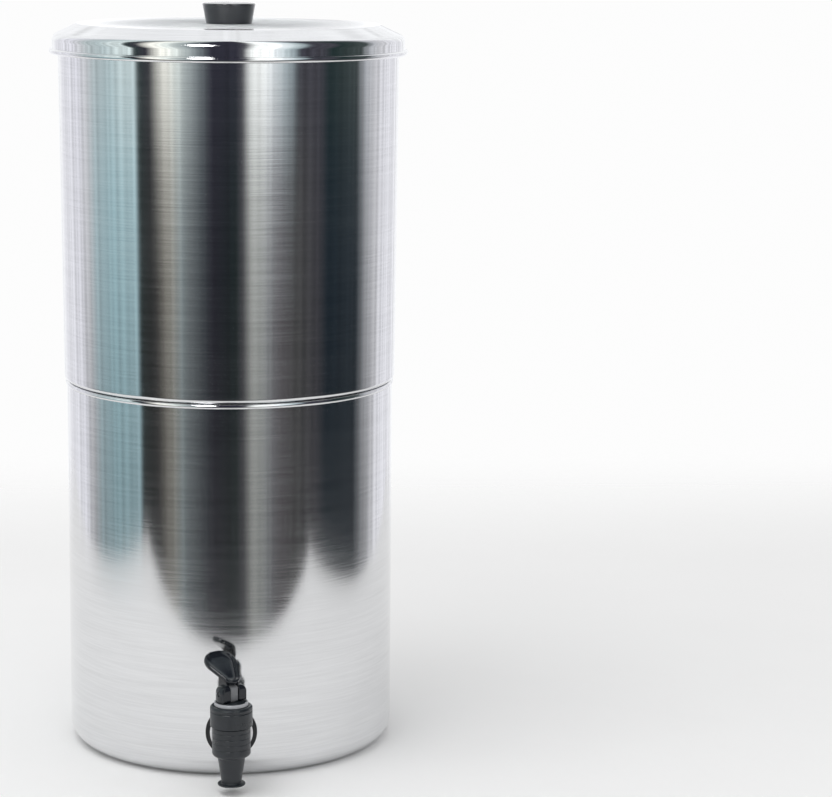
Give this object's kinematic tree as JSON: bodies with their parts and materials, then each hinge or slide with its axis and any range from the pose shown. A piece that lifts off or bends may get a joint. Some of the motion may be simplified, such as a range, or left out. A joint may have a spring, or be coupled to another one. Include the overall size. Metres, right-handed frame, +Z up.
{
  "type": "gravity water filter with tap",
  "caption": "Countertop gravity water filter: stacked brushed steel vessels, lift-off lid with a black knob, ceramic candles inside and a black self-closing lever tap low on the front.",
  "frame": {"origin": "centre of the flat underside of the base, on the vessels' common axis", "axes": "+Z up along the vessels' axis; the tap stands out towards -Y; +X is to the right seen from the front"},
  "size_m": [0.26, 0.2979, 0.5465],
  "materials": {
    "brushed_steel": "fine horizontal brushing",
    "lid_steel": "satin top, polished skirt",
    "black_knob": "moulded, semi-gloss",
    "brass_thread": "turned",
    "fastener_steel": "bright",
    "ceramic": "unglazed ceramic, matt",
    "white_plastic": "moulded, matt",
    "silicone": "soft satin",
    "black_tap": "moulded, semi-gloss",
    "black_rubber": "matt",
    "pale_plastic": "moulded, semi-gloss",
    "grey_plastic": "moulded, semi-gloss",
    "black_lever": "moulded, glossy"
  },
  "bodies": {
    "lower": {"lower_vessel": "brushed_steel", "tap_body": "black_tap", "wall_gasket": "black_rubber", "wall_washer": "fastener_steel", "inner_gasket": "black_rubber", "lock_nut": "black_tap", "bonnet": "black_tap", "bonnet_seal": "silicone", "bonnet_ring": "pale_plastic", "spring": "fastener_steel"},
    "upper": {"upper_vessel": "brushed_steel", "candle_left": "ceramic", "candle_right": "ceramic", "candle_cap_left": "white_plastic", "candle_cap_right": "white_plastic", "inner_seal_left": "silicone", "inner_seal_right": "silicone", "outer_seal_left": "silicone", "outer_seal_right": "silicone", "wing_nut_left": "white_plastic", "wing_nut_right": "white_plastic"},
    "lid": {"lid": "lid_steel", "lid_knob": "black_knob", "knob_insert": "brass_thread", "knob_screw": "fastener_steel", "knob_washer": "fastener_steel"},
    "swivel": {"thrust_washer": "black_tap"},
    "valve": {"stem": "grey_plastic", "seat_cup": "silicone", "lever_pin": "black_tap"},
    "lever": {"lever": "black_lever"}
  },
  "joints": [
    {"name": "upper_lift", "type": "slide", "parent": "lower", "child": "upper", "axis": [0, 0, 1], "range_m": [0, 0.35]},
    {"name": "lid_lift", "type": "slide", "parent": "upper", "child": "lid", "axis": [0, 0, 1], "range_m": [0, 0.25]},
    {"name": "lever_swivel", "type": "hinge", "parent": "lower", "child": "swivel", "pos_m": [0, -0.153, 0.0674], "axis": [0, 0, 1], "continuous": true},
    {"name": "stem_lift", "type": "slide", "parent": "swivel", "child": "valve", "axis": [0, 0, 1], "range_m": [0, 0.00285], "deforming": ["spring"]},
    {"name": "lever_press", "type": "hinge", "parent": "valve", "child": "lever", "pos_m": [0, -0.153, 0.0737], "axis": [-0.8192, -0.5736, 0], "range_deg": [0, 30], "stiffness_Nm_per_rad": 0.06, "springref_deg": -20.05}
  ],
  "couplings": [
    {"joint": "lever_press", "follows": "stem_lift", "rad_per_m": 181.82}
  ]
}
